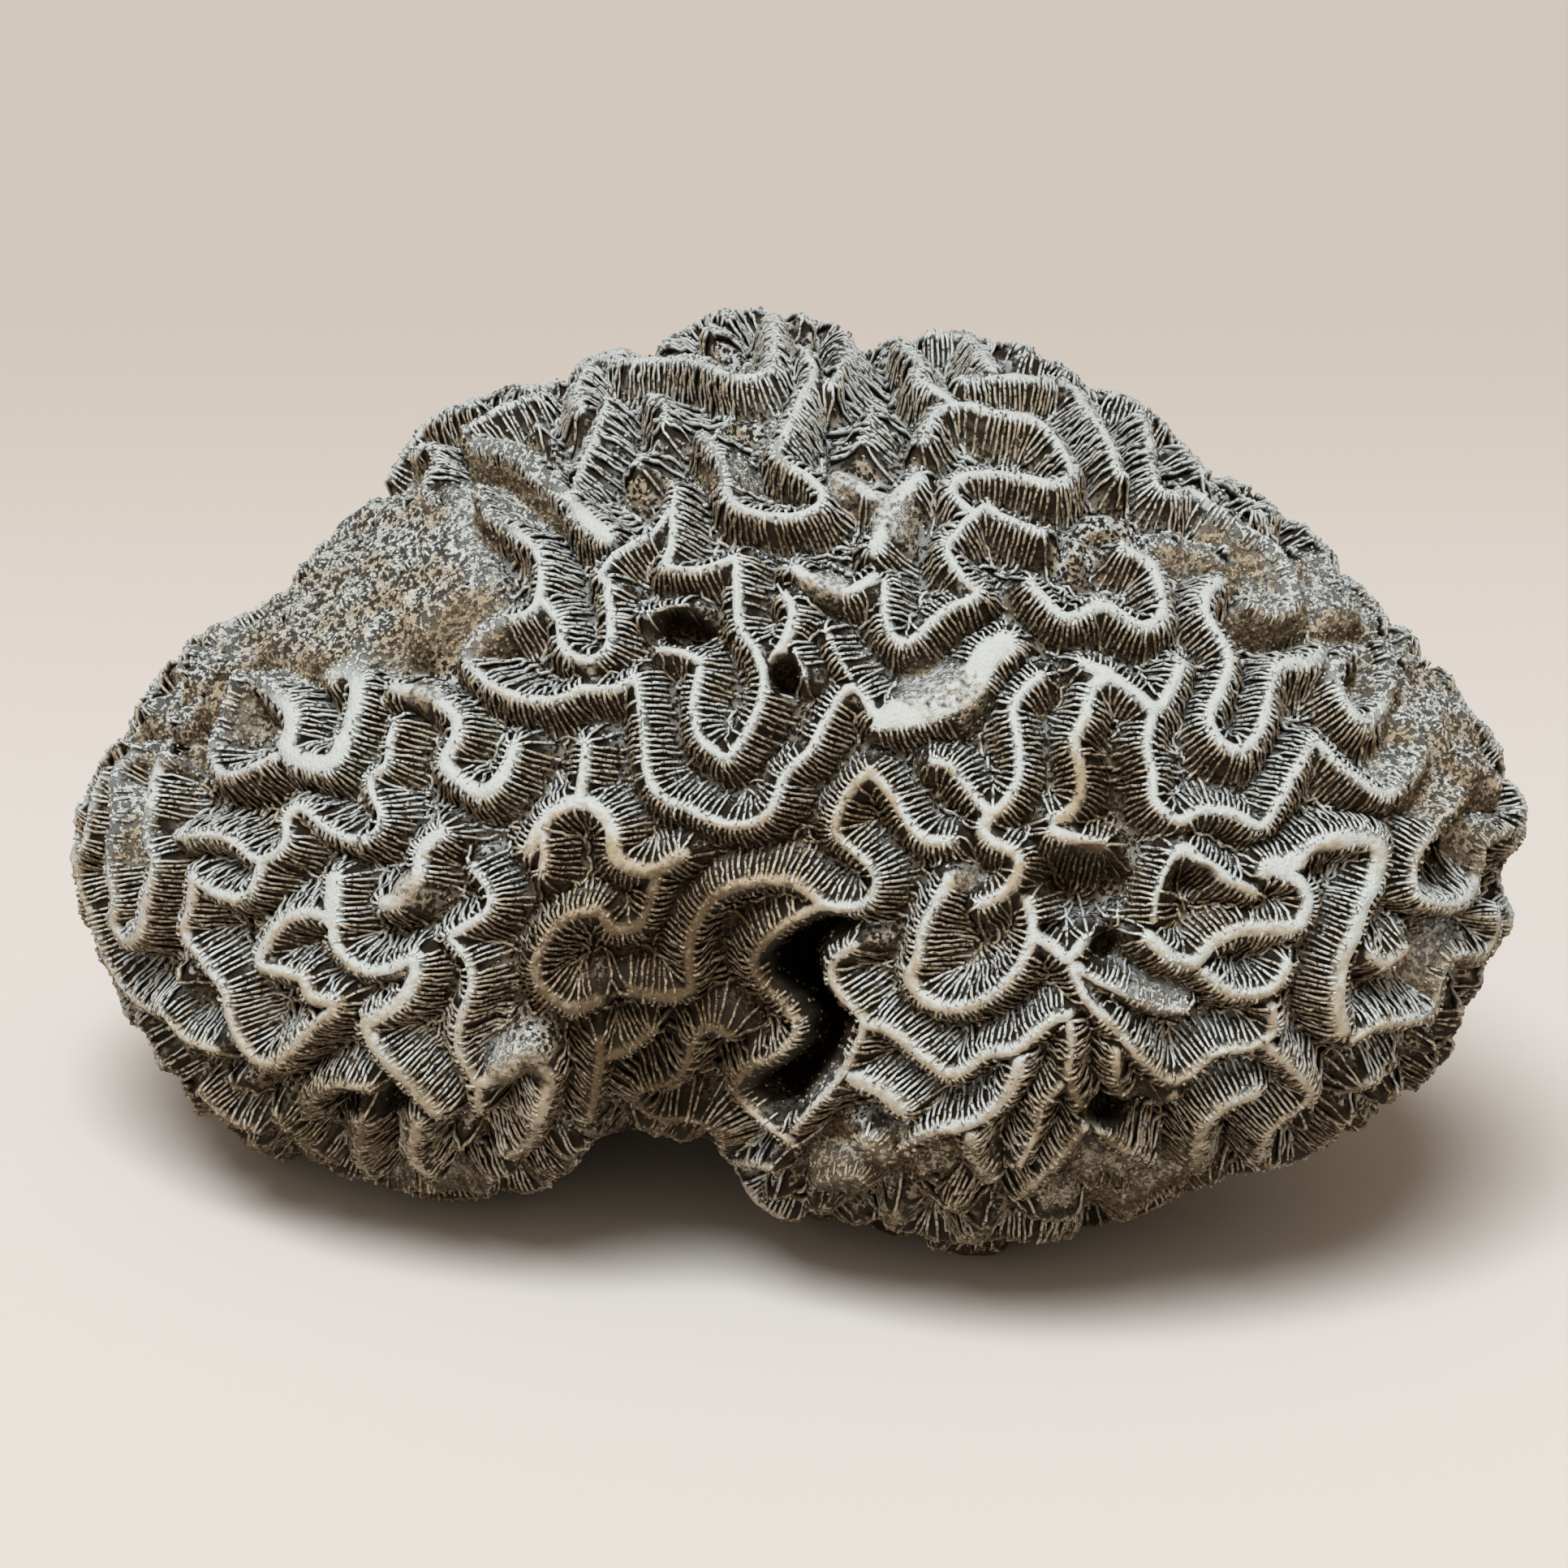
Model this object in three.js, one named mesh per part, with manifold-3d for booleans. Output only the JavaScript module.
import * as THREE from 'three'
import { mergeVertices } from 'three/addons/utils/BufferGeometryUtils.js'
import Module from 'manifold-3d'

// A dead brain coral, grown as one rounded block on two low lobes and cut flat where it stood on rock.
// The face is measured in its own plane in millimetres: u to the right, v up and w away from the viewer.
// That plane leans back, because the face was measured looking down on it. In the model x is u, y goes
// away from the viewer and z is up.

// The viewer's place
const LOOK_DOWN = THREE.MathUtils.degToRad(19)
const VIEW_DISTANCE = 905
const VIEW_CENTRE = [-2.4, 71.75]

// The whole form
const MIDDLE_V = 68
const HALF_WIDTH = 112
const HALF_HEIGHT = 70
const DEPTH_FRONT = 68
const DEPTH_BACK = 70
const SQUARENESS = 2.3
const SKEW = -0.22
const CUT_LEVEL = 2

// The face runs back to the middle of the form, and fades over this share of its depth
const FACE_EDGE = 0.35

// The ridges: how deep the valleys lie, and how a ridge falls from its rounded crest to the valley floor
const RELIEF = 5.5
const BAND_HALF = 1.2
const FOOT = 5
const PITCH = 11

// Traced crests hold up to here, and hand over to the grown ones between two distances from a crest
const TRACED_END = DEPTH_BACK / 3
const TRACED_ONLY = 3.5
const GROWN_ONLY = 5.5
const CREST_STEP = 0.5
const RIM_SHARE = 0.998

// The edge of a hole or worn place, as shares of its half width
const SPOT_EDGE = 0.6
const SPOT_END = 1.2

// The skin of grid cells in which the untraced ridges grow, and the room of its grid beyond the form
const CELL = 2
const SKIN = 2.99
const GRID_ROOM = [12, 16, 8]
const NEAR_PASSES = 3
const FAR_PASSES = 11
const SPREAD_RATE = 1 / 8
const GAIN = 6
const ROUNDS = 40
const PIN_REACH = 5
const CREST_LEVEL = 0.8

// Fineness of the faceted solid
const SPHERE_DETAIL = 63
const TRIANGLES = 8600
const CUT_CLEARANCE = 0.3
const EDGE_COST = 1e-4
const LEAST_COSINE = 0.35
const LEAST_SHAPE = 0.06

// The outline of the face, clockwise from the left end
const OUTLINE = [
  [-112.5, 60.6], [-110, 71.9], [-102.5, 83.8], [-95, 93.8], [-81.9, 100.6], [-73.1, 110],
  [-65, 117], [-58.1, 126.9], [-48.1, 132.8], [-38.1, 134.5], [-31.9, 137.8], [-21.3, 140.6],
  [-14.4, 144.4], [-6.9, 145.3], [0, 144.8], [5.6, 143.1], [9.4, 140], [15.6, 141],
  [20.6, 141.9], [26.9, 141.3], [38.1, 138.5], [44.4, 134.4], [54.4, 129.4], [61.9, 122.5],
  [71.9, 116.3], [81.9, 108.1], [92.9, 96.6], [101.9, 86.9], [110.6, 72.5], [112.5, 66],
  [108.5, 57], [109.6, 50], [104.4, 40], [99.4, 28.8], [88.1, 19.4], [71.9, 11.9],
  [61.9, 9.5], [49.4, 3.8], [31.9, -0.6], [20.6, 0], [8, 4], [-0.6, 4],
  [-6.9, 7.5], [-13.1, 16.9], [-23.1, 18.4], [-30.2, 18.1], [-34.5, 12.3], [-41.9, 8.5],
  [-56.9, 7.8], [-73.1, 11.9], [-89.4, 17.5], [-100, 30], [-106.9, 42.5], [-111, 52],
]

// The crests that show on the face, as width and points. The smooth curve through the points is the crest.
const CRESTS = [
  // Upper left shoulder
  [2.4, [-64.5, 120], [-62, 125], [-58, 128], [-54, 130], [-50.5, 131]],
  [2.2, [-52, 127], [-47.5, 129.7], [-44.5, 131], [-40, 132.5]],
  [4, [-50, 125], [-44, 123.5], [-40.3, 120.3], [-36.5, 117], [-33.5, 113.2], [-30, 110.4]],
  [2.6, [-50, 117.5], [-48.3, 113.7], [-44, 110.7], [-40.6, 107.5], [-40.4, 101.5], [-42.2, 98.4],
    [-47.4, 97], [-51.3, 93.5], [-51.6, 91.1], [-48.1, 87.3], [-43.3, 85.2], [-38.1, 84.9],
    [-33.9, 86.6], [-29.4, 86.6], [-25.6, 88.3]],
  [2.2, [-30, 131.5], [-32.2, 125], [-34.5, 119.5], [-35.2, 115]],
  // Crown
  [2.6, [-31.8, 138.2], [-25, 137.6], [-17, 137.6], [-12.5, 135.8], [-8, 135], [-4.5, 136.6],
    [-4, 140.3], [-4.2, 144.6]],
  [2.4, [-31.8, 138.2], [-34.6, 133.6], [-34, 130]],
  [2.2, [-29, 102.2], [-31, 104.3], [-28, 108], [-22.5, 111.2], [-19.8, 115.8], [-19.3, 118]],
  [2.4, [-19.6, 116], [-20, 109], [-20.9, 105.6], [-15, 105.2], [-9.8, 107.2]],
  [2.6, [-15, 126], [-12.2, 121], [-11.2, 116], [-7, 113.8], [-1, 113.3], [3.2, 115.4],
    [2, 118.8], [-3.7, 122.8], [-2.3, 126.2], [-0.2, 131], [2.3, 136], [0.8, 139]],
  [2.4, [7.5, 141.5], [8, 139], [6.5, 136], [5, 133.7]],
  [3.6, [18.2, 119.5], [14.3, 115.5], [12.3, 110.8], [11.3, 108.3]],
  [3, [6, 119.5], [11, 116.7], [14, 116]],
  [3, [-1.2, 105.4], [2.8, 102.8], [7.3, 101.7], [11.2, 103.8]],
  [2.6, [18.8, 125], [21.5, 130], [26, 130.6], [31, 129.3], [36.5, 128.2], [40, 124.8],
    [42, 120.4], [39, 118.4], [34.5, 119.5], [28.5, 120.1], [24.2, 119], [23.5, 117], [26, 114.5]],
  [2.6, [25, 134.5], [31, 134.9], [38, 134.5], [42.5, 133.4], [45.2, 129], [48, 124.7], [49.6, 120]],
  [2.6, [15.2, 140], [18.5, 137], [17.8, 135], [22, 132.2], [24, 130.7]],
  [2.8, [20, 141.7], [26, 141.4], [28.2, 138.3], [29.8, 136.2]],
  [2.6, [37.5, 111], [31.5, 113.2], [28.5, 114.7], [24.2, 111], [22.5, 108.3], [24.6, 104.4],
    [27.5, 101.2], [22.9, 99.1], [19.4, 96], [17.4, 94.2], [15.6, 93.6], [13.9, 94.8],
    [13, 97.5], [13, 103]],
  [3, [35.6, 102.9], [39.4, 98.8], [41.5, 97.7], [43.6, 98.4], [46.7, 99.8], [49.9, 98.1],
    [52.9, 96.4], [55.8, 97.7], [56.1, 100.5], [54.4, 106], [50.2, 108.3]],
  // Upper right slope
  [2.4, [53.3, 129.3], [54.4, 124.3], [55, 118.9], [57, 117.2], [61, 117.4], [65, 114.5],
    [69.5, 111.5], [74, 108.3], [76.9, 103.5], [77, 100.5], [73.7, 98.6], [69.8, 100.3]],
  [3, [65, 103.8], [63, 101.5], [62.7, 98.8], [64.8, 94.9], [66.4, 91.5], [65.5, 87.6],
    [63.4, 82.8], [63.8, 80.3], [66.2, 77.6], [69.2, 77.6], [71.6, 81.4], [72.8, 86.9],
    [74.4, 90.4], [79.2, 91.1], [81, 92.4]],
  [3.2, [85.5, 92.9], [83.1, 89.7], [84.8, 84.2], [88.1, 81.7], [91, 85.6], [91.7, 90], [91, 93.5]],
  // Left end
  [2.4, [-108, 73.5], [-109.4, 70.3], [-110.8, 63.3], [-112, 58], [-110.1, 51], [-108.4, 46.5],
    [-106, 41.9], [-102.2, 37.4], [-98.5, 36], [-95.6, 32.6], [-90.5, 30.5]],
  [3.2, [-103.5, 77.6], [-106.3, 72.7], [-106.3, 66.8], [-107.1, 60], [-106.2, 53.4],
    [-106.5, 50], [-104.5, 47.4], [-102.3, 48.9], [-101.1, 54.4], [-100.1, 59.5],
    [-101.5, 64], [-100.4, 69.2], [-99.7, 74.4], [-97.6, 77.2]],
  [2.4, [-87.6, 89], [-88.6, 85.6], [-90.3, 80.7], [-91, 76.5], [-89.3, 73.4], [-85.1, 74.4],
    [-81, 76.5]],
  [4, [-83.7, 88], [-79.6, 84.5], [-78.7, 81], [-80, 77.5], [-77, 75.6], [-73, 75],
    [-70.8, 78.3], [-69.3, 83], [-68.5, 87.3], [-70, 90], [-72, 89]],
  [3, [-69.2, 90], [-68.1, 93.5], [-67, 96]],
  [2.6, [-96.3, 63.7], [-90.7, 63.9], [-87.5, 62.8], [-84.5, 60.3], [-81.5, 60.7], [-79.4, 63.3],
    [-79.5, 66.5], [-77.2, 68.2], [-73.3, 65.1], [-69.2, 63.1], [-66, 64.2], [-64.8, 67],
    [-66, 70.3], [-66.5, 72.7], [-64, 75], [-63.6, 78], [-62.9, 81.5]],
  [3, [-94, 57.5], [-94.7, 52], [-95.2, 48.2], [-92.4, 44.4], [-89.3, 40.2], [-88.4, 36.5],
    [-86.2, 31.5], [-82.9, 28.2], [-79.5, 29.8], [-75.5, 34], [-72, 36.8]],
  [2.8, [-93, 56.4], [-89.5, 54.5], [-86, 54.2], [-84.3, 56.5], [-83.2, 60]],
  [3, [-76.8, 42], [-80, 42.7], [-83.3, 43.9], [-82.5, 47.2], [-79.3, 50.9], [-75, 51.7],
    [-72.4, 50], [-71.8, 46.5], [-68.5, 43.6], [-64.5, 43], [-60.5, 44.6]],
  [3.2, [-76.8, 42], [-75.3, 38.6], [-71.5, 38.3]],
  [4, [-71.9, 57], [-72.3, 53.8], [-72, 50.5]],
  // Middle left
  [3.4, [-62.7, 86.9], [-57.8, 85.6], [-53.7, 82.8], [-53.1, 79.5], [-55.1, 75.1], [-52.6, 72.4],
    [-49.6, 70.6], [-47.1, 71.7], [-45.3, 74.8], [-44.3, 77.6]],
  [2.6, [-39.7, 100], [-37.5, 97], [-37, 93.5], [-35.3, 91.6], [-32.3, 91.2], [-30, 93],
    [-29.4, 96.5], [-30.1, 103.3]],
  [3.6, [-55.5, 64.3], [-58.5, 61.5], [-59.2, 57.4], [-62, 54], [-64.3, 53.2]],
  [3.4, [-42, 61.5], [-39.4, 66.5], [-35.6, 68.9], [-31.8, 68.3], [-29.2, 65], [-28.7, 60.5],
    [-25.5, 58.5], [-22, 58.5], [-18.4, 60.6]],
  [2.6, [-40.2, 65], [-39.6, 61.5], [-39.9, 58.2]],
  [2.8, [-34.3, 69.2], [-33.7, 73], [-33.2, 78]],
  [2.6, [-50.6, 59], [-47.9, 55], [-48.5, 52], [-52.6, 49.2], [-54.3, 48.2], [-51.6, 44.7],
    [-50.8, 40.6], [-52.3, 35.3], [-52.5, 30.5], [-50, 25], [-49.3, 21.5]],
  [2.8, [-22, 58.5], [-23.1, 53.8], [-24.9, 49.7], [-29, 49.3], [-31.5, 52], [-37, 50.3],
    [-40.5, 45], [-40, 40.5], [-35, 36.8], [-31, 38]],
  [2.8, [-26, 39.3], [-20, 38.4], [-16.8, 40], [-17, 46.8], [-14, 53.2], [-9, 56],
    [-2.4, 56.5], [1.4, 54.8], [2.8, 52.9]],
  // Middle
  [2.6, [-25.6, 88.3], [-25, 86], [-24.4, 80], [-24, 75], [-22.8, 71.3], [-20.5, 69],
    [-17.4, 68], [-14, 66.2], [-9.7, 65.2], [-6, 66.2], [-3.8, 69.5], [-2.4, 73.4],
    [1.4, 76.9], [3.5, 81], [5.9, 85.2], [8.2, 86.8], [10.1, 84.9], [11, 82.6]],
  [5.5, [12, 82.2], [17.7, 82.8], [22.1, 84.4], [26, 87], [28.7, 91.5], [31.5, 93.6]],
  [2.6, [-15.5, 89.5], [-16.6, 84.5], [-15.8, 79.3], [-12.8, 76.4], [-11, 76], [-8.7, 79.3],
    [-6.6, 83.5], [-5.7, 88], [-6.9, 92.2], [-9.4, 96], [-9.9, 102], [-9.8, 107.2]],
  [2.4, [-21.5, 92.6], [-18.5, 92.3], [-15.5, 90.8]],
  [2, [-24.5, 98.2], [-21.9, 99], [-18, 99.6]],
  [2.8, [-2.6, 101], [-1.2, 98.5], [-2.2, 94.5], [-4.2, 91]],
  [1.8, [-1, 92.8], [0, 90.5], [0.6, 88.5]],
  [1.8, [3.8, 95.6], [5.6, 91.8], [7.6, 88.3]],
  [2.6, [10.6, 73.8], [7.6, 71], [5.5, 67], [5.4, 63.5], [9.4, 60.2], [11.5, 57], [10.6, 54],
    [9, 52.7], [6.9, 52.5], [2.8, 52.8]],
  [2.8, [10.6, 73.8], [14, 70], [16.3, 66.1], [19.4, 63.1], [23.3, 63]],
  [2.8, [20.5, 75.4], [23.3, 74.4], [26.4, 70.3], [29.4, 67.5], [32.2, 69.9], [33.8, 74.4],
    [33.3, 80], [32.9, 84], [35.6, 87.6], [37.2, 88.6]],
  [3, [29.4, 67.5], [28, 65], [29.5, 62.8], [33.3, 61], [33.4, 58], [31, 54.9], [27.5, 53.3]],
  // Middle right
  [3, [38.8, 66.6], [41.5, 67.5], [43.3, 71], [42.9, 75.5], [42.2, 78.6], [44, 82.1],
    [45, 86.6], [47.8, 88.4], [51.6, 86.3], [55.1, 83.6], [57.5, 86.9], [59, 90.6]],
  [3, [48, 89], [44, 90.3]],
  [3.2, [38.8, 64.5], [42.5, 63.2], [46.4, 62.4]],
  [2.8, [54.4, 82], [53.5, 78], [54.4, 73.8], [54.7, 69.3], [58.5, 66.2], [62, 67.9],
    [66.9, 67.2], [71.5, 65.3], [74.4, 69.9], [77.2, 74.8], [79.9, 78.6], [83.4, 75.1],
    [87.9, 71.7], [91.2, 70.6], [95, 74], [96.7, 78], [94.5, 82]],
  [2.2, [57.2, 60.2], [55.6, 57], [54.6, 53.4], [54.6, 51]],
  [3, [57.5, 61], [59.5, 61.7], [62.7, 59.5], [66.9, 56.7], [70, 55]],
  [3, [102.8, 70.6], [99.7, 65.8], [96.3, 61.9], [95, 57.5], [96.5, 54.2], [101, 53.3],
    [104.5, 56], [106.3, 61.6], [109.5, 64]],
  [4, [72, 58.6], [76.5, 59.8], [79.6, 61.9], [84.4, 63.3], [88.5, 63], [90, 60.5],
    [88.8, 56.5], [87, 52.5], [85.8, 48.5], [83.8, 44], [83.2, 38], [84, 33.5]],
  [3.4, [53.7, 48.2], [57.8, 44.7], [61, 44.3], [63.4, 47], [67.8, 49.2], [73, 49.3],
    [77.2, 49.9], [78.6, 53], [77.8, 56.2], [74, 58.4]],
  [3, [62.4, 42.6], [66.5, 39.6], [71, 39.3], [73.7, 40.9], [75.4, 43.7]],
  // Cave rims
  [2.4, [2.8, 52.7], [-3, 49.2], [-6.9, 45], [-6.5, 41], [-2.4, 36.4], [-1, 33], [-4.2, 29.1],
    [-8, 27.4], [-10.1, 23.5], [-6.9, 19.7], [-1.6, 15.5]],
  [2.4, [8, 46.5], [4.9, 44], [5, 40.5], [8.7, 36], [9.2, 34], [7.8, 30], [5.2, 25.3],
    [1.4, 21.1], [-1.4, 17.6]],
  // Right lobe
  [3, [9.4, 34.5], [13.5, 33.6], [19, 29.2], [23.3, 26.8], [28.3, 30.1], [33, 31],
    [38.8, 35.7], [41, 36]],
  [4, [8, 26], [12, 24.4], [15.5, 21.3]],
  [3.2, [16, 15.2], [20, 17.9], [25.2, 19], [29.4, 21.5], [32.5, 25.3], [33.5, 29]],
  [3, [23, 57.5], [21.5, 54.8], [18.6, 49.5], [17.7, 44.4], [16.4, 41.5], [19.8, 37.9],
    [25, 37.3], [30.1, 39.9], [33.7, 44], [35.6, 49], [35, 53.5]],
  [3, [35.6, 49], [39.4, 46.1], [41.2, 45], [44, 48]],
  [2.4, [41.2, 45], [43.6, 42.6], [49.9, 39.5], [55, 37.3], [59.2, 37]],
  [2.6, [41.5, 43.5], [44, 38.5], [48.5, 34], [53, 28.7], [57, 25.7], [60.3, 27], [64, 30],
    [70.5, 31.3], [73.3, 33.5], [73, 37]],
  [2.4, [41, 36], [41.5, 31.5], [41.3, 26], [44.7, 20.1], [49, 15.7], [54, 13.3]],
  [2.8, [44.5, 19.8], [41.5, 15.9], [37.5, 11.3], [34, 8]],
  [2.4, [40, 25.2], [37, 21.5], [36, 17.5], [33.6, 12.8]],
  [2.4, [48.5, 30.5], [48.6, 25.8], [51, 22.2], [54.7, 22], [57.5, 23.8]],
  [2.8, [72, 31.2], [75.8, 27.7], [79, 23.5], [76, 20.6], [72.3, 17.6], [71, 13.5]],
  [2.4, [71, 12.2], [76.8, 13.1], [81.3, 15.9], [84.8, 19.6]],
  [3.4, [70, 23.6], [66.5, 22.2], [62.7, 19.4], [61, 15.2], [61.3, 12]],
  [3, [85.5, 32], [90, 34.3], [95, 35.4], [98.6, 37], [99.3, 41], [101.5, 44.8], [105.5, 44.6],
    [108, 48], [108.3, 52.4]],
  [3, [88.6, 45.2], [91, 43.8], [93.6, 46]],
  [3, [26, 17.3], [26.8, 13], [29, 10.8]],
  [5, [10.3, 16], [12.3, 14.3]],
  [6, [4.5, 9.5], [8, 10]],
  // Left lobe
  [3.6, [-59.5, 44.9], [-59.3, 42.5], [-61.3, 38.5], [-64.5, 36.3], [-66.9, 34.3], [-64.1, 29.4],
    [-59.9, 24.9], [-56, 20.8]],
  [3.2, [-50, 24.8], [-45.7, 26.5], [-42, 28.7], [-39.3, 27], [-38.2, 25], [-39.8, 20.8],
    [-41.5, 16], [-44.5, 14]],
  [2.6, [-30.8, 31.2], [-31, 26.5], [-32.4, 19]],
  [2.4, [-30.8, 28.8], [-26, 30.3], [-22.8, 32.9]],
  [2.4, [-11, 32.4], [-13.9, 33.4], [-16.5, 31.5], [-17.5, 28], [-19.8, 24.7], [-24.5, 23.5],
    [-25.2, 21.8], [-22.4, 19.4], [-15.5, 18.4], [-12.4, 16], [-11.5, 13.2], [-5, 11.9]],
  [2.6, [-92.8, 23.9], [-88.6, 19.7], [-83.8, 17.9]],
  [2.6, [-80.3, 19.4], [-75.8, 15.6], [-72, 13.4]],
  [2.6, [-75.7, 20], [-75, 23], [-71, 24.9], [-66.5, 24.5]],
  [3, [-67.4, 19.5], [-67.8, 14], [-66, 11]],
  [3.2, [-58.8, 19], [-59.5, 14], [-57, 11]],
]

// The mouth of the cave, and the stretch of w that it takes up
const CAVE_START = -90
const CAVE_MOUTH = -56
const CAVE_END = -24
const CAVE = [
  [3.5, 51.5], [6.8, 51], [8.5, 49], [4.2, 46.5], [3, 44], [3, 41.5], [5, 38.5], [7.3, 35],
  [6.6, 31], [5.8, 27.5], [3, 24], [0, 21], [-3, 19.5], [-6, 20.5], [-8.6, 23.5], [-7.5, 26],
  [-3, 28.6], [0.2, 31.5], [0.6, 34.5], [-0.8, 37], [-4.8, 41], [-5.3, 44.5], [-3, 47.5],
]

// Holes and sunken pockets: place, half width, half height and depth
const HOLES = [
  { u: -18.8, v: 96, ru: 3.8, rv: 2.9, depth: 9 },
  { u: -2.6, v: 88.6, ru: 2.2, rv: 3, depth: 8 },
  { u: 47.4, v: 46.4, ru: 2.6, rv: 3, depth: 8 },
  { u: 38.6, v: 49.6, ru: 1.8, rv: 1.4, depth: 4 },
  { u: 51.5, v: 20.4, ru: 8, rv: 2.6, depth: 12 },
  { u: 44, v: 57, ru: 8, rv: 5, depth: 6 },
  { u: 60.8, v: 57, ru: 3.6, rv: 2.4, depth: 4 },
  { u: -70.8, v: 21.4, ru: 2.6, rv: 2.8, depth: 6 },
  { u: -63.5, v: 21, ru: 2.2, rv: 3.4, depth: 6 },
  { u: 81.5, v: 59.6, ru: 3, rv: 2, depth: 3 },
  { u: 100, v: 59.5, ru: 3, rv: 3.5, depth: 4 },
  { u: -95, v: 77.5, ru: 2.4, rv: 3.6, depth: 4 },
]

// Broad swells and hollows of the form: place, radius and how far it stands out
const SWELLS = [
  { u: 42, v: 28, radius: 34, out: 7 },
  { u: -58, v: 30, radius: 30, out: 4 },
  { u: -2, v: 36, radius: 20, out: -8 },
  { u: -22, v: 16, radius: 15, out: -9 },
  { u: 20, v: 118, radius: 30, out: 3 },
]

// Places where the ridges have been worn down: place, half width, half height and what height is left
const WORN = [
  { u: -74, v: 106, ru: 26, rv: 17, left: 0.35 },
  { u: 101, v: 80, ru: 13, rv: 14, left: 0.5 },
  { u: 82, v: 103, ru: 12, rv: 7, left: 0.6 },
]

const smooth = THREE.MathUtils.smoothstep

// Distance from the middle to the outline, all round, after taking out how near each part is
const RIM_STEPS = 720
const rim = outlineTable()

function outlineTable() {
  const points = OUTLINE.map(([u, v]) => {
    const [flatU, flatV] = unproject(u, v, SKEW * u)
    return new THREE.Vector3(flatU, flatV - MIDDLE_V, 0)
  })
  const curve = new THREE.CatmullRomCurve3(points, true, 'catmullrom', 0.5)
  const samples = []
  const count = OUTLINE.length * 16
  for (let i = 0; i < count; i++) {
    const p = curve.getPoint(i / count)
    samples.push([Math.atan2(p.y, p.x), Math.hypot(p.x, p.y)])
  }
  samples.sort((a, b) => a[0] - b[0])
  const first = samples[0]
  const last = samples.at(-1)
  samples.unshift([last[0] - 2 * Math.PI, last[1]])
  samples.push([first[0] + 2 * Math.PI, first[1]])
  const table = new Float64Array(RIM_STEPS + 1)
  let at = 0
  for (let i = 0; i <= RIM_STEPS; i++) {
    const angle = -Math.PI + i / RIM_STEPS * 2 * Math.PI
    while (at < samples.length - 2 && samples[at + 1][0] < angle) at++
    const [a0, r0] = samples[at]
    const [a1, r1] = samples[at + 1]
    table[i] = r0 + (r1 - r0) * THREE.MathUtils.clamp((angle - a0) / (a1 - a0), 0, 1)
  }
  return table
}

function rimAt(angle) {
  const place = (angle + Math.PI) / (2 * Math.PI) * RIM_STEPS
  const i = Math.min(Math.floor(place), RIM_STEPS - 1)
  return rim[i] + (rim[i + 1] - rim[i]) * (place - i)
}

// What the viewer sees at (u, v) lies here if it is w away from the measured plane
function unproject(u, v, w) {
  const scale = 1 + w / VIEW_DISTANCE
  return VIEW_CENTRE.map((centre, i) => centre + ([u, v][i] - centre) * scale)
}

function project(u, v, w) {
  const scale = 1 / (1 + w / VIEW_DISTANCE)
  return VIEW_CENTRE.map((centre, i) => centre + ([u, v][i] - centre) * scale)
}

// Distance from the middle to the plain form along a unit direction
function reach(du, dv, dw) {
  const flat = Math.max(Math.hypot(du, dv), 1e-9)
  const oval = 1 / Math.hypot(du / flat / HALF_WIDTH, dv / flat / HALF_HEIGHT)
  const share = flat * flat
  const across = rimAt(Math.atan2(dv, du)) * share + oval * (1 - share)
  const deep = dw < 0 ? DEPTH_FRONT : DEPTH_BACK
  const sum = (flat / across) ** SQUARENESS + (Math.abs(dw) / deep) ** SQUARENESS
  return sum ** (-1 / SQUARENESS)
}

// The front point of the plain form that is seen at (u, v)
function place(u, v) {
  const point = new THREE.Vector3(0, 0, -DEPTH_FRONT)
  for (let pass = 0; pass < 4; pass++) {
    const [flatU, flatV] = unproject(u, v, point.z + SKEW * point.x)
    const angle = Math.atan2(flatV - MIDDLE_V, flatU)
    const target = Math.min(Math.hypot(flatU, flatV - MIDDLE_V), rimAt(angle) * RIM_SHARE)
    let low = 0
    let high = Math.PI / 2
    for (let step = 0; step < 24; step++) {
      const turn = (low + high) / 2
      const flat = Math.sin(turn)
      const r = reach(flat * Math.cos(angle), flat * Math.sin(angle), -Math.cos(turn))
      if (r * flat < target) low = turn
      else high = turn
      point.set(r * flat * Math.cos(angle), r * flat * Math.sin(angle), -r * Math.cos(turn))
    }
  }
  return point
}

// Points close together along every traced crest, on the plain form, each with its half width
function crestSamples() {
  const samples = []
  for (const [width, ...path] of CRESTS) {
    const curve = new THREE.CatmullRomCurve3(
      path.map(([u, v]) => new THREE.Vector3(u, v, 0)), false, 'catmullrom', 0.5)
    const count = Math.ceil(curve.getLength() / CREST_STEP)
    for (let i = 0; i <= count; i++) {
      const p = curve.getPoint(i / count)
      samples.push({ point: place(p.x, p.y), half: width / 2 })
    }
  }
  return samples
}

// Distance from the crest band of the nearest traced ridge
function tracedDistance(samples, x, y, z) {
  let best = Infinity
  for (const { point, half } of samples) {
    const dx = Math.abs(x - point.x)
    if (dx > best + half) continue
    const d = Math.hypot(dx, y - point.y, z - point.z) - (half - BAND_HALF)
    if (d < best) best = d
  }
  return Math.max(best, 0)
}

function noise(i, j, k) {
  let h = Math.imul(i, 73856093) ^ Math.imul(j, 19349663) ^ Math.imul(k, 83492791)
  h = Math.imul(h ^ (h >>> 15), 2246822519)
  h ^= h >>> 13
  return (h >>> 0) / 2147483648 - 1
}

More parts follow.
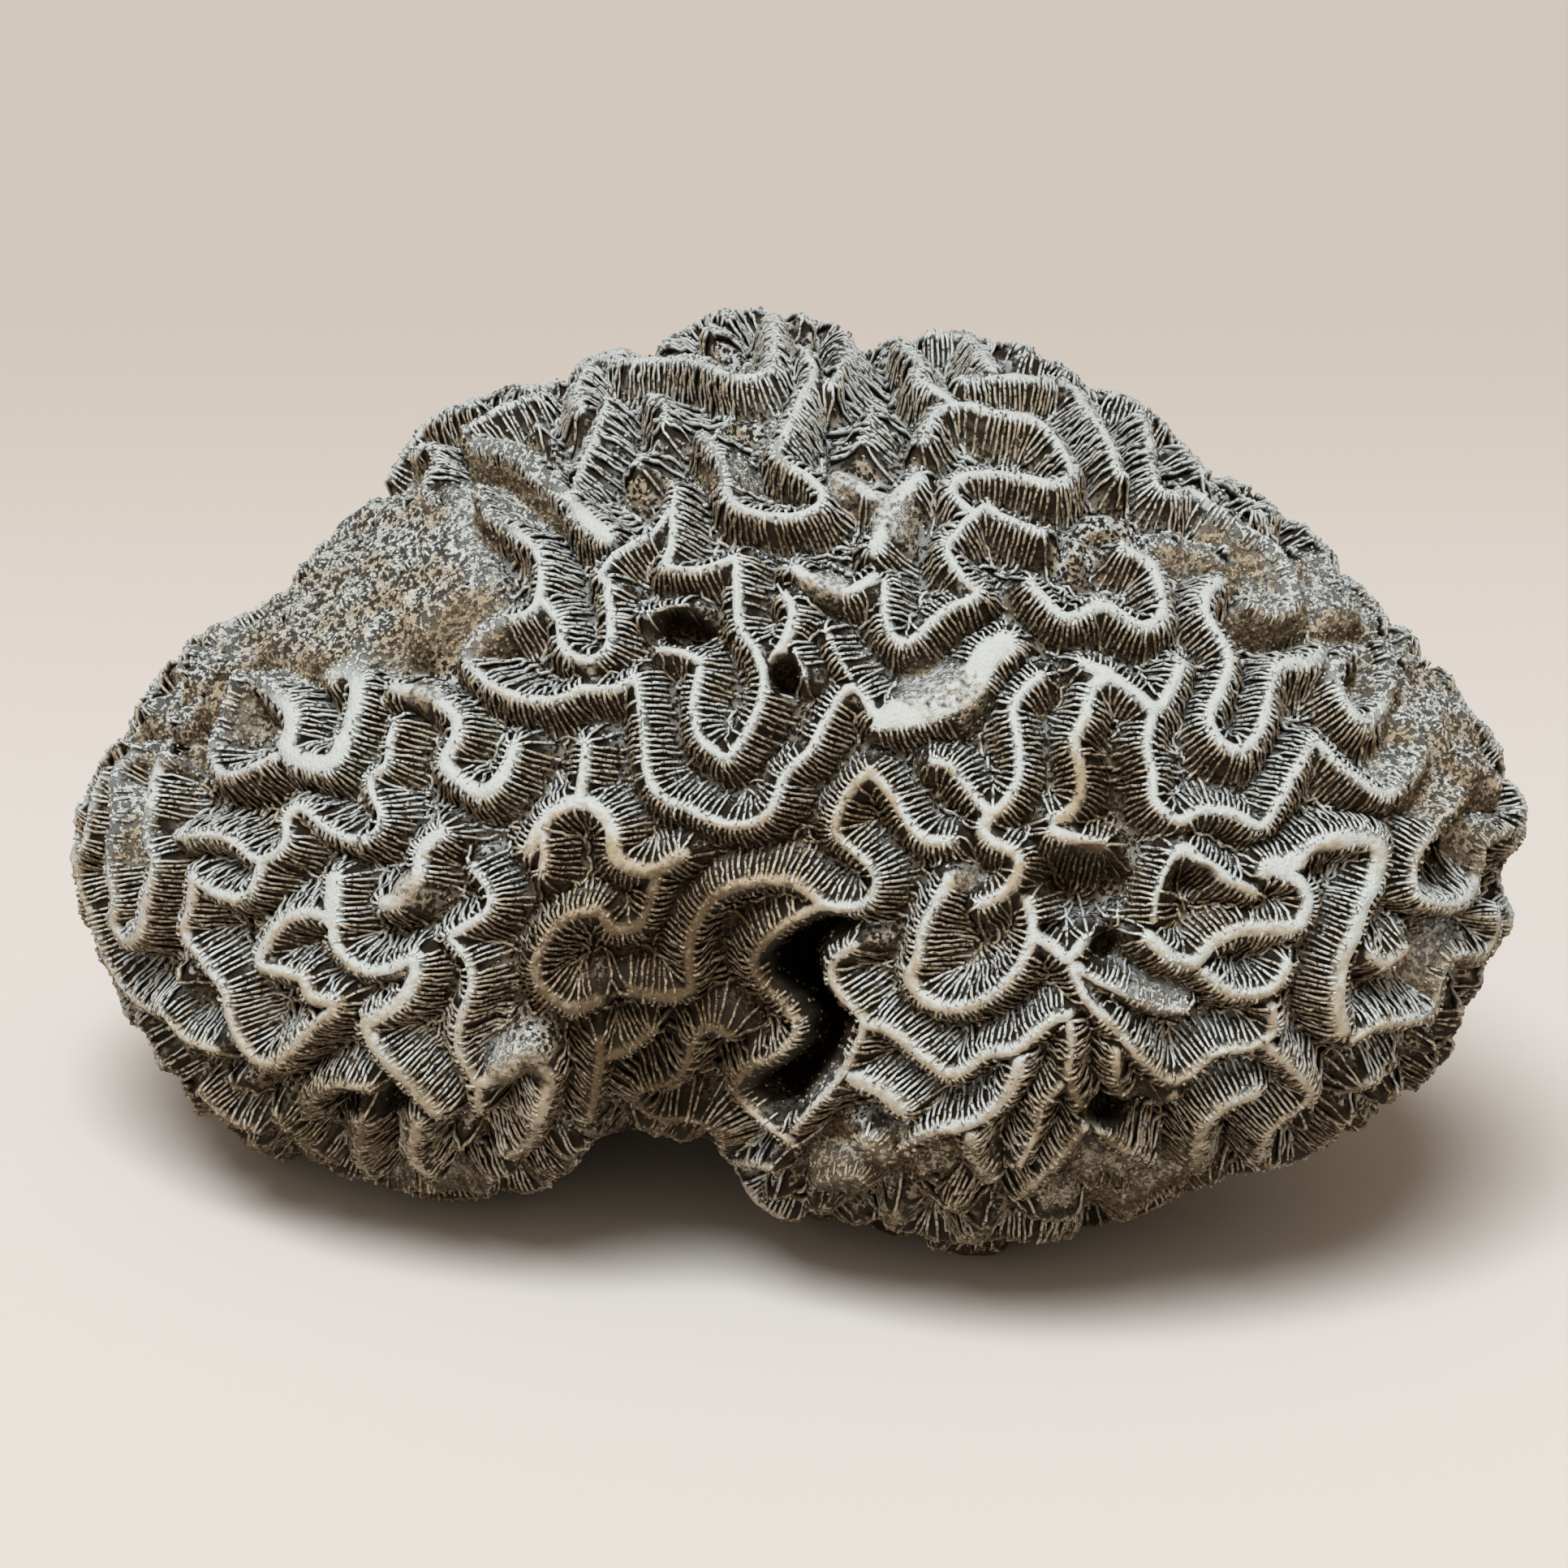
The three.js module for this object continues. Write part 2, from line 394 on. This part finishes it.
// Ridges that wind at an even pitch over the whole skin and run on from the traced ones.
// Each round takes a narrow average less a wide one, which is what spaces the ridges.
function growRidges(samples) {
  const size = [HALF_WIDTH, HALF_HEIGHT, DEPTH_BACK].map((half, i) => Math.ceil((half + GRID_ROOM[i]) / CELL))
  const [nx, ny, nz] = size.map((half) => 2 * half + 1)
  const index = new Int32Array(nx * ny * nz).fill(-1)
  const at = (i, j, k) => (k * ny + j) * nx + i
  const cells = []
  for (let k = 0; k < nz; k++) {
    for (let j = 0; j < ny; j++) {
      for (let i = 0; i < nx; i++) {
        const x = (i - size[0]) * CELL
        const y = (j - size[1]) * CELL
        const z = (k - size[2]) * CELL
        const r = Math.max(Math.hypot(x, y, z), 1e-9)
        if (Math.abs(r - reach(x / r, y / r, z / r)) > SKIN) continue
        index[at(i, j, k)] = cells.length
        cells.push([i, j, k, x, y, z])
      }
    }
  }
  const count = cells.length
  const around = new Int32Array(count * 6)
  const value = new Float64Array(count)
  const pinned = new Float64Array(count).fill(NaN)
  cells.forEach(([i, j, k, x, y, z], n) => {
    const next = [at(i - 1, j, k), at(i + 1, j, k), at(i, j - 1, k), at(i, j + 1, k), at(i, j, k - 1),
      at(i, j, k + 1)]
    next.forEach((cell, side) => {
      around[n * 6 + side] = index[cell] >= 0 ? index[cell] : n
    })
    value[n] = noise(i, j, k)
    if (z < TRACED_END) {
      const d = tracedDistance(samples, x, y, z)
      if (d < PIN_REACH) pinned[n] = Math.cos(d / PITCH * 2 * Math.PI)
    }
  })
  let from = new Float64Array(count)
  let to = new Float64Array(count)
  const narrow = new Float64Array(count)
  const spread = () => {
    for (let n = 0; n < count; n++) {
      let sum = -6 * from[n]
      for (let side = 0; side < 6; side++) sum += from[around[n * 6 + side]]
      to[n] = from[n] + SPREAD_RATE * sum
    }
    const swap = from
    from = to
    to = swap
  }
  for (let round = 0; round < ROUNDS; round++) {
    from.set(value)
    for (let pass = 1; pass <= FAR_PASSES; pass++) {
      spread()
      if (pass === NEAR_PASSES) narrow.set(from)
    }
    for (let n = 0; n < count; n++) {
      value[n] = Number.isNaN(pinned[n]) ? Math.tanh(GAIN * (narrow[n] - from[n])) : pinned[n]
    }
  }
  from.set(value)
  for (let pass = 0; pass < NEAR_PASSES; pass++) spread()
  const level = from
  return (x, y, z) => {
    const fx = x / CELL + size[0]
    const fy = y / CELL + size[1]
    const fz = z / CELL + size[2]
    const [i, j, k] = [Math.floor(fx), Math.floor(fy), Math.floor(fz)]
    let sum = 0
    let weights = 0
    for (let corner = 0; corner < 8; corner++) {
      const [a, b, c] = [corner & 1, (corner >> 1) & 1, corner >> 2]
      const cell = index[at(i + a, j + b, k + c)]
      if (cell < 0) continue
      const weight = (1 - Math.abs(fx - i - a)) * (1 - Math.abs(fy - j - b)) * (1 - Math.abs(fz - k - c))
      sum += weight * level[cell]
      weights += weight
    }
    return weights > 0 ? sum / weights : 0
  }
}

// How much of a place on the form belongs to the face, from 0 to 1
function faceShare(z) {
  return 1 - smooth(z, -DEPTH_FRONT * FACE_EDGE, 0)
}

// How much of a spot with soft edges holds at (u, v), from 0 to 1
function spotShare(spot, u, v) {
  const off = Math.hypot((u - spot.u) / spot.ru, (v - spot.v) / spot.rv)
  return 1 - smooth(off, SPOT_EDGE, SPOT_END)
}

// What is left of the ridges' height at a place on the face, 1 where they aren't worn
function wornTo(u, v) {
  return WORN.reduce((left, spot) => left * (1 - (1 - spot.left) * spotShare(spot, u, v)), 1)
}

// How far the front surface stands out, in w, before the ridges are cut
function swellAt(u, v) {
  return SWELLS.reduce((sum, spot) => {
    const off = Math.hypot(u - spot.u, v - spot.v) / spot.radius
    return sum - spot.out * Math.exp(-off * off)
  }, 0)
}

// How far holes go in, in w
function holeAt(u, v) {
  return HOLES.reduce((deepest, spot) => Math.max(deepest, spot.depth * spotShare(spot, u, v)), 0)
}

// The share of a ridge's height that is left at a distance from its crest band
function ridgeProfile(distance) {
  const fall = THREE.MathUtils.clamp((distance - BAND_HALF) / (FOOT - BAND_HALF), 0, 1)
  return 0.5 + 0.5 * Math.cos(Math.PI * fall)
}

// The whole surface, as one fine closed mesh in the viewer's own axes
function grownSurface() {
  const ball = new THREE.IcosahedronGeometry(1, SPHERE_DETAIL)
  ball.deleteAttribute('normal')
  ball.deleteAttribute('uv')
  const mesh = mergeVertices(ball, 1e-5)
  const position = mesh.attributes.position
  const samples = crestSamples()
  const ridgeLevel = growRidges(samples)
  const plain = []
  const p = new THREE.Vector3()
  for (let n = 0; n < position.count; n++) {
    p.fromBufferAttribute(position, n)
    p.set(p.x * HALF_WIDTH, p.y * HALF_HEIGHT, p.z * DEPTH_FRONT).normalize()
    p.multiplyScalar(reach(p.x, p.y, p.z))
    plain.push(p.clone())
    const w = p.z + SKEW * p.x
    const [u, v] = project(p.x, p.y + MIDDLE_V, w)
    position.setXYZ(n, p.x, p.y, w + faceShare(p.z) * swellAt(u, v))
  }
  mesh.computeVertexNormals()
  const normal = mesh.attributes.normal
  plain.forEach((q, n) => {
    const grown = Math.acos(THREE.MathUtils.clamp(ridgeLevel(q.x, q.y, q.z) / CREST_LEVEL, -1, 1))
    let distance = grown / (2 * Math.PI) * PITCH
    const [u, v] = project(position.getX(n), position.getY(n) + MIDDLE_V, position.getZ(n))
    const front = faceShare(q.z)
    if (q.z < TRACED_END) {
      const traced = tracedDistance(samples, q.x, q.y, q.z)
      distance += (traced - distance) * (1 - smooth(traced, TRACED_ONLY, GROWN_ONLY))
    }
    const worn = 1 + (wornTo(u, v) - 1) * front
    const cut = RELIEF * worn * (1 - ridgeProfile(distance))
    position.setXYZ(n,
      position.getX(n) - normal.getX(n) * cut,
      position.getY(n) - normal.getY(n) * cut,
      position.getZ(n) - normal.getZ(n) * cut + front * holeAt(u, v))
  })
  return mesh
}

// The model's own axes, with the flat cut at z = 0. The viewer's axes are left-handed, so faces turn round.
function standUp(mesh) {
  const position = mesh.attributes.position
  const [sin, cos] = [Math.sin(LOOK_DOWN), Math.cos(LOOK_DOWN)]
  for (let n = 0; n < position.count; n++) {
    const v = position.getY(n) + MIDDLE_V
    const w = position.getZ(n)
    let z = v * cos - w * sin - CUT_LEVEL
    if (Math.abs(z) < CUT_CLEARANCE) z = z < 0 ? -CUT_CLEARANCE : CUT_CLEARANCE
    position.setXYZ(n, position.getX(n), v * sin + w * cos, z)
  }
  mesh.deleteAttribute('normal')
  mesh.index.array.reverse()
  return mesh
}

// The least costly edges first
class EdgeHeap {
  constructor() {
    this.items = []
  }

  push(item) {
    const { items } = this
    let n = items.push(item) - 1
    while (n > 0) {
      const up = (n - 1) >> 1
      if (items[up].cost <= item.cost) break
      items[n] = items[up]
      n = up
    }
    items[n] = item
  }

  pop() {
    const { items } = this
    const top = items[0]
    const last = items.pop()
    if (items.length === 0) return top
    let n = 0
    for (;;) {
      let down = 2 * n + 1
      if (down >= items.length) break
      if (down + 1 < items.length && items[down + 1].cost < items[down].cost) down++
      if (items[down].cost >= last.cost) break
      items[n] = items[down]
      n = down
    }
    items[n] = last
    return top
  }
}

// Fewer triangles by edge collapse, keeping crests and pits, by the sum of squared distances to planes
function reduceTriangles(mesh, wanted) {
  const points = []
  const position = mesh.attributes.position
  for (let n = 0; n < position.count; n++) {
    points.push(new THREE.Vector3().fromBufferAttribute(position, n))
  }
  const faces = []
  const facesOf = points.map(() => new Set())
  for (let n = 0; n < mesh.index.count; n += 3) {
    const face = [mesh.index.getX(n), mesh.index.getX(n + 1), mesh.index.getX(n + 2)]
    face.forEach((v) => facesOf[v].add(faces.length))
    faces.push(face)
  }
  const side1 = new THREE.Vector3()
  const side2 = new THREE.Vector3()
  const normalOf = (a, b, c, out) => {
    side1.subVectors(b, a)
    side2.subVectors(c, a)
    return out.crossVectors(side1, side2)
  }
  const quadrics = points.map(() => new Float64Array(10))
  const n1 = new THREE.Vector3()
  const n2 = new THREE.Vector3()
  for (const [a, b, c] of faces) {
    const double = normalOf(points[a], points[b], points[c], n1).length()
    n1.divideScalar(double || 1)
    const d = -n1.dot(points[a])
    const plane = [n1.x, n1.y, n1.z, d]
    for (const v of [a, b, c]) {
      let slot = 0
      for (let i = 0; i < 4; i++) {
        for (let j = i; j < 4; j++) quadrics[v][slot++] += plane[i] * plane[j] * double
      }
    }
  }
  const errorAt = (q, p) => q[0] * p.x * p.x + 2 * q[1] * p.x * p.y + 2 * q[2] * p.x * p.z
    + 2 * q[3] * p.x + q[4] * p.y * p.y + 2 * q[5] * p.y * p.z + 2 * q[6] * p.y
    + q[7] * p.z * p.z + 2 * q[8] * p.z + q[9]
  const matrix = new THREE.Matrix3()
  const bestPoint = (q, a, b) => {
    const middle = new THREE.Vector3().addVectors(a, b).multiplyScalar(0.5)
    matrix.set(q[0], q[1], q[2], q[1], q[4], q[5], q[2], q[5], q[7])
    const choices = [a, b, middle]
    if (Math.abs(matrix.determinant()) > 1e-6) {
      const solved = new THREE.Vector3(-q[3], -q[6], -q[8]).applyMatrix3(matrix.invert())
      if (solved.distanceTo(middle) < a.distanceTo(b)) choices.push(solved)
    }
    return choices.reduce((best, p) => (errorAt(q, p) < errorAt(q, best) ? p : best)).clone()
  }
  const stamp = new Int32Array(points.length)
  const heap = new EdgeHeap()
  const offer = (a, b) => {
    const q = quadrics[a].map((value, i) => value + quadrics[b][i])
    const target = bestPoint(q, points[a], points[b])
    const cost = Math.max(errorAt(q, target), 0) + EDGE_COST * points[a].distanceToSquared(points[b])
    heap.push({ cost, a, b, target, stampA: stamp[a], stampB: stamp[b] })
  }
  const neighbours = (v) => {
    const found = new Set()
    for (const f of facesOf[v]) faces[f].forEach((other) => other !== v && found.add(other))
    return found
  }
  const turnsOver = (v, other, target) => {
    for (const f of facesOf[v]) {
      if (faces[f].includes(other)) continue
      const [a, b, c] = faces[f].map((n) => points[n])
      const [p, q, r] = faces[f].map((n) => (n === v ? target : points[n]))
      normalOf(a, b, c, n1)
      normalOf(p, q, r, n2)
      if (n1.dot(n2) < LEAST_COSINE * n1.length() * n2.length()) return true
      const longest = Math.max(p.distanceTo(q), q.distanceTo(r), r.distanceTo(p))
      if (n2.length() < LEAST_SHAPE * longest * longest) return true
    }
    return false
  }
  faces.forEach(([a, b, c]) => {
    if (a < b) offer(a, b)
    if (b < c) offer(b, c)
    if (c < a) offer(c, a)
  })
  let left = faces.length
  while (left > wanted && heap.items.length > 0) {
    const { a, b, target, stampA, stampB } = heap.pop()
    if (stamp[a] !== stampA || stamp[b] !== stampB) continue
    const near = neighbours(a)
    const shared = [...neighbours(b)].filter((v) => near.has(v))
    if (shared.length !== 2 || turnsOver(a, b, target) || turnsOver(b, a, target)) continue
    for (const f of [...facesOf[b]]) {
      if (faces[f].includes(a)) {
        faces[f].forEach((v) => facesOf[v].delete(f))
        faces[f] = null
        left--
      } else {
        faces[f] = faces[f].map((v) => (v === b ? a : v))
        facesOf[a].add(f)
      }
    }
    facesOf[b].clear()
    points[a].copy(target)
    quadrics[a] = quadrics[a].map((value, i) => value + quadrics[b][i])
    stamp[a]++
    stamp[b]++
    for (const v of neighbours(a)) offer(a, v)
  }
  const reduced = new THREE.BufferGeometry()
  const kept = faces.filter((face) => face !== null)
  const numbers = new Map()
  const flat = []
  kept.flat().forEach((v) => {
    if (numbers.has(v)) return
    numbers.set(v, numbers.size)
    flat.push(...points[v].toArray())
  })
  reduced.setAttribute('position', new THREE.Float32BufferAttribute(flat, 3))
  reduced.setIndex(kept.flat().map((v) => numbers.get(v)))
  return reduced
}

const wasm = await Module()
wasm.setup()

function solidOf(geometry) {
  return new wasm.Manifold(new wasm.Mesh({
    numProp: 3,
    vertProperties: new Float32Array(geometry.attributes.position.array),
    triVerts: new Uint32Array(geometry.index.array),
  }))
}

function merged(geometry) {
  geometry.deleteAttribute('normal')
  geometry.deleteAttribute('uv')
  return mergeVertices(geometry)
}

// The space of the cave, straight in along w
function caveSpace() {
  const mouth = CAVE.map(([u, v]) => {
    const [flatU, flatV] = unproject(u, v, CAVE_MOUTH)
    return new THREE.Vector2(flatU, flatV - MIDDLE_V)
  })
  const space = new THREE.ExtrudeGeometry(new THREE.Shape(mouth), {
    depth: CAVE_END - CAVE_START,
    bevelEnabled: false,
  })
  space.translate(0, 0, CAVE_START)
  return standUp(merged(space))
}

// The cave is taken out, and everything below the flat cut at z = 0 on which the coral rests
function cutOut(geometry) {
  const room = 400
  const below = new THREE.BoxGeometry(room, room, room)
  below.translate(0, 0, -room / 2)
  const { numProp, vertProperties, triVerts } = solidOf(geometry)
    .subtract(solidOf(caveSpace()))
    .subtract(solidOf(merged(below)))
    .getMesh()
  const cut = new THREE.BufferGeometry()
  const flat = []
  for (let n = 0; n < vertProperties.length; n += numProp) {
    flat.push(vertProperties[n], vertProperties[n + 1], vertProperties[n + 2])
  }
  cut.setAttribute('position', new THREE.Float32BufferAttribute(flat, 3))
  cut.setIndex([...triVerts])
  return cut
}

// The origin under the middle of the whole coral
function centre(geometry) {
  geometry.computeBoundingBox()
  const middle = geometry.boundingBox.getCenter(new THREE.Vector3())
  geometry.translate(-middle.x, -middle.y, 0)
  geometry.computeVertexNormals()
  return geometry
}

const coral = new THREE.Mesh(
  centre(cutOut(reduceTriangles(standUp(grownSurface()), TRIANGLES))),
  new THREE.MeshStandardMaterial({ color: 0xb9b1a0, roughness: 0.9, metalness: 0 }))
coral.name = 'coral'

const group = new THREE.Group()
group.add(coral)
export default group
